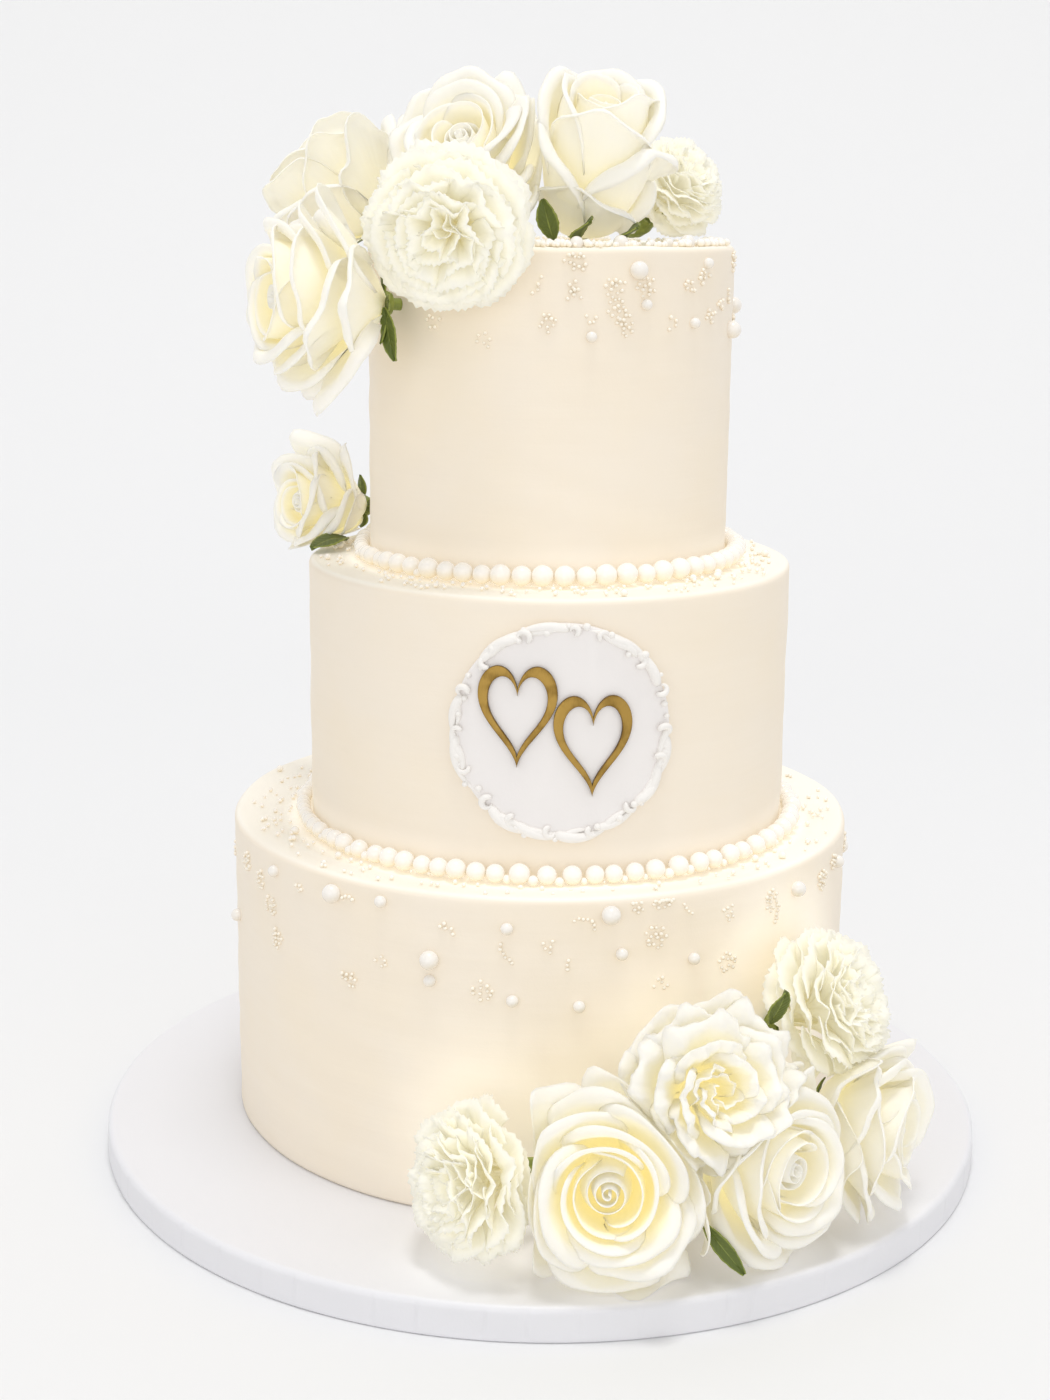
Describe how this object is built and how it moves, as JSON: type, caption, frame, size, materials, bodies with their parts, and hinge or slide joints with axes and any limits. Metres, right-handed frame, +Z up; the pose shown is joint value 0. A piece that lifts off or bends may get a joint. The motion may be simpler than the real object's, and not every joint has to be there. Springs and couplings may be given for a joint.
{
  "type": "tiered wedding cake",
  "caption": "Round tiered cake in smooth ivory icing on a white drum board, with sugar pearls, a round piped plaque with gold hearts, and fresh white roses and carnations.",
  "frame": {"origin": "centre of the board's underside, where the cake stands on a table", "axes": "+Z up through the tiers; the front with the plaque faces -Y; +X is to the viewer's right"},
  "size_m": [0.3556, 0.3556, 0.4192],
  "materials": {
    "icing": "satin ivory buttercream",
    "board": "white embossed paper",
    "pearl": "pearly sugar",
    "fondant": "smooth white fondant",
    "piping": "piped royal icing",
    "gold": "brushed gold",
    "petal": "soft ivory petal",
    "leaf": "fresh green leaf"
  },
  "bodies": {
    "root": {"board": "board", "tier_bottom": "icing", "tier_middle": "icing", "tier_top": "icing", "pearl_border_lower": "pearl", "pearl_border_upper": "pearl", "plaque": "fondant", "plaque_border": "piping", "gold_heart_left": "gold", "gold_heart_right": "gold", "rose_top_left": "petal", "carnation_top_front": "petal", "rose_top_back": "petal", "rose_top_far_left": "petal", "rose_top_right": "petal", "carnation_top_right": "petal", "rose_middle": "petal", "carnation_front_left": "petal", "rose_front": "petal", "rose_front_right": "petal", "rose_upper": "petal", "carnation_upper_right": "petal", "rose_far_right": "petal", "leaf_front": "leaf", "leaf_upper": "leaf", "leaf_top_left": "leaf", "leaf_top_centre": "leaf", "leaf_top_mid": "leaf", "leaf_top_right": "leaf", "leaf_middle": "leaf"}
  },
  "joints": []
}
